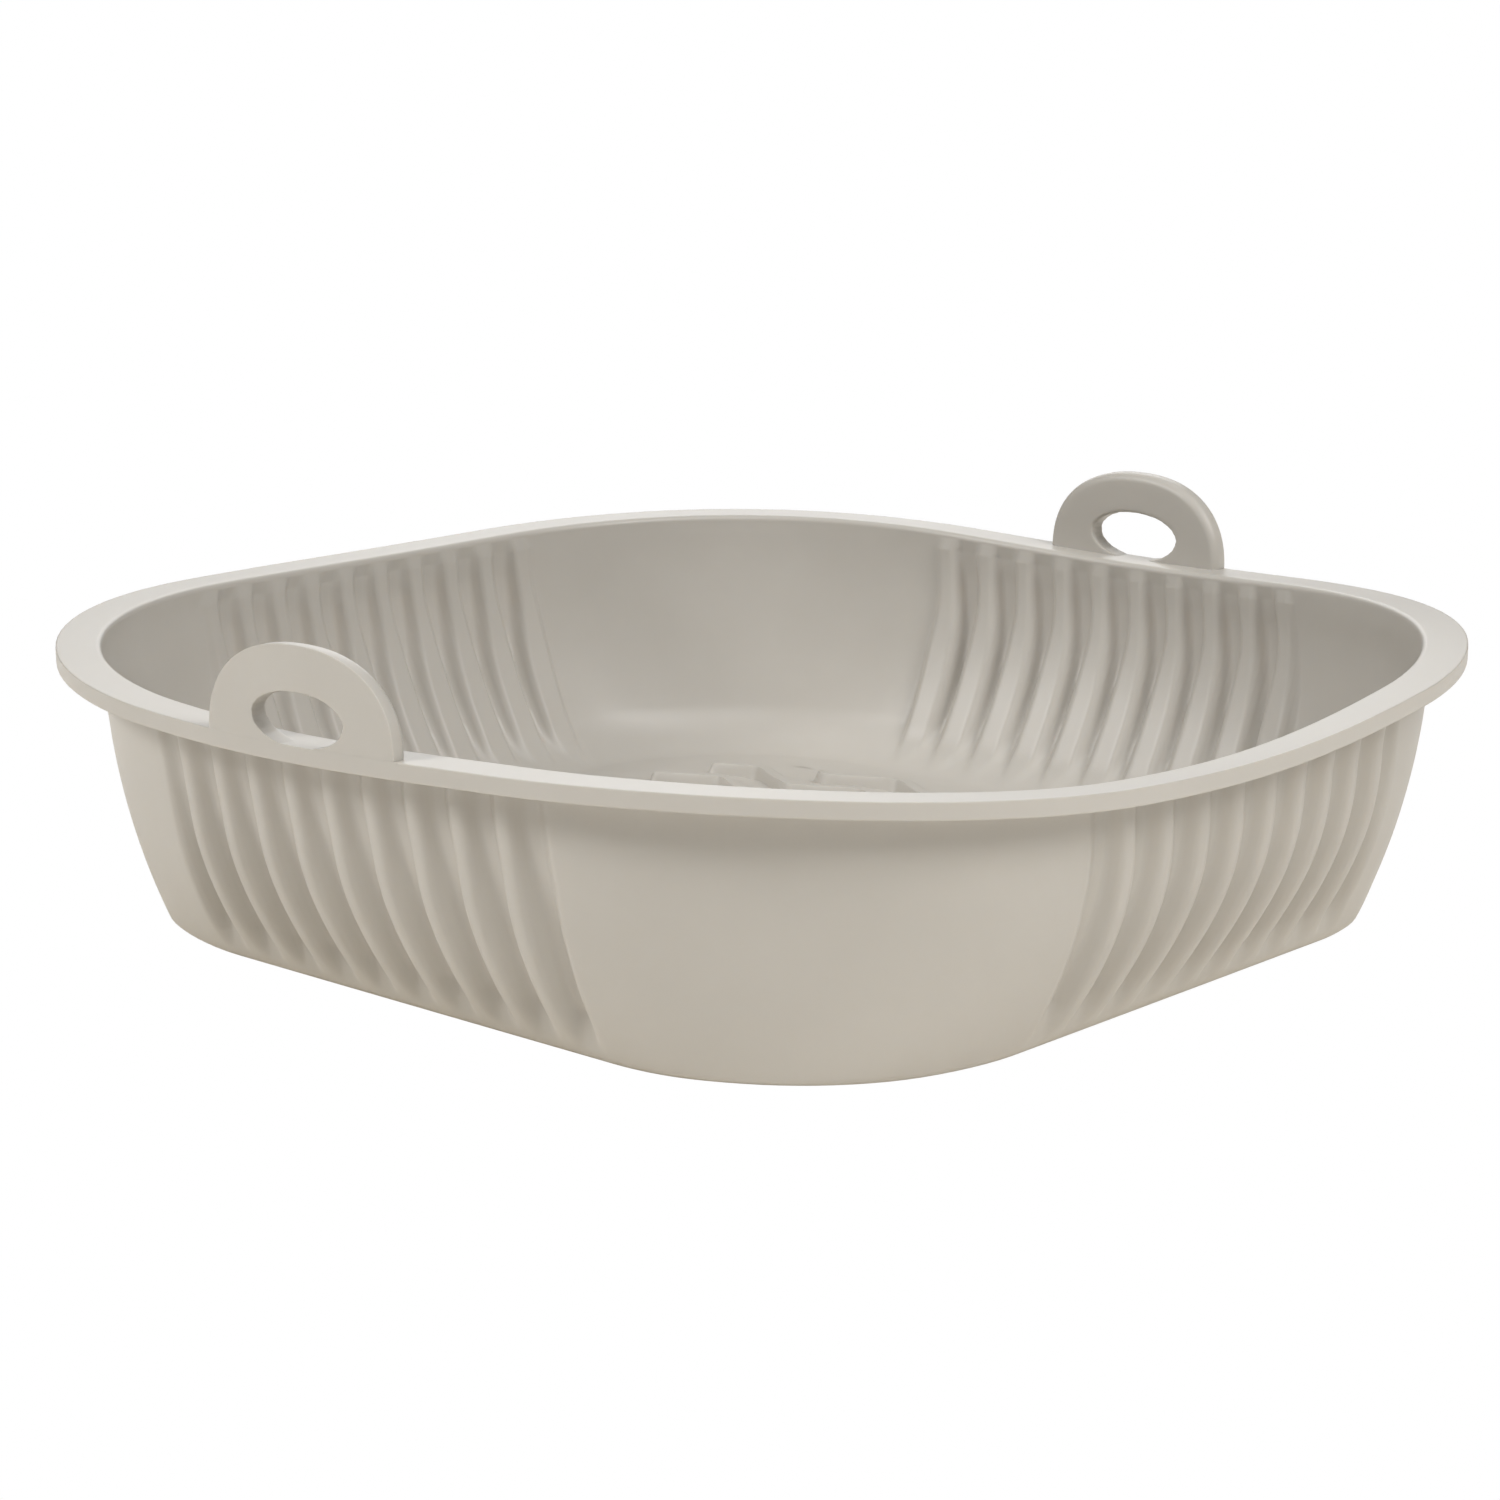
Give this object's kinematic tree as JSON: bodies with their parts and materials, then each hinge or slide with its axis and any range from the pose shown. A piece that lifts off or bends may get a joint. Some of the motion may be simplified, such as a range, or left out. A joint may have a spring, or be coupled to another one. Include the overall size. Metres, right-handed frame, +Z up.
{
  "type": "soft silicone basin",
  "caption": "Square soft silicone basin with a flat lip, fluted side walls, a ribbed floor and two folding finger-loop ears.",
  "frame": {"origin": "centre of the flat underside of the floor, which is also the bottom centre of the bounding box", "axes": "+Z up out of the basin, the ears on the -Y (front) and +Y (rear) sides, +X along the ears' width"},
  "size_m": [0.21, 0.21, 0.0599],
  "materials": {
    "silicone": "satin moulded silicone, warm light grey"
  },
  "bodies": {
    "basin": {"floor_panel": "silicone", "side_wall": "silicone", "rim_flange": "silicone", "floor_rib_01": "silicone", "floor_rib_02": "silicone", "floor_rib_03": "silicone", "floor_rib_04": "silicone", "floor_rib_05": "silicone", "floor_rib_06": "silicone", "floor_rib_07": "silicone", "floor_rib_08": "silicone", "floor_rib_09": "silicone", "floor_rib_10": "silicone", "floor_rib_11": "silicone", "floor_rib_12": "silicone", "floor_rib_13": "silicone"},
    "front_ear": {"front_ear": "silicone"},
    "rear_ear": {"rear_ear": "silicone"}
  },
  "joints": [
    {"name": "front_ear_flex", "type": "hinge", "parent": "basin", "child": "front_ear", "pos_m": [0, -0.1032, 0.0471], "axis": [1, 0, 0], "range_deg": [-90, 90], "stiffness_Nm_per_rad": 0.004},
    {"name": "rear_ear_flex", "type": "hinge", "parent": "basin", "child": "rear_ear", "pos_m": [0, 0.1032, 0.0471], "axis": [-1, 0, 0], "range_deg": [-90, 90], "stiffness_Nm_per_rad": 0.004}
  ]
}
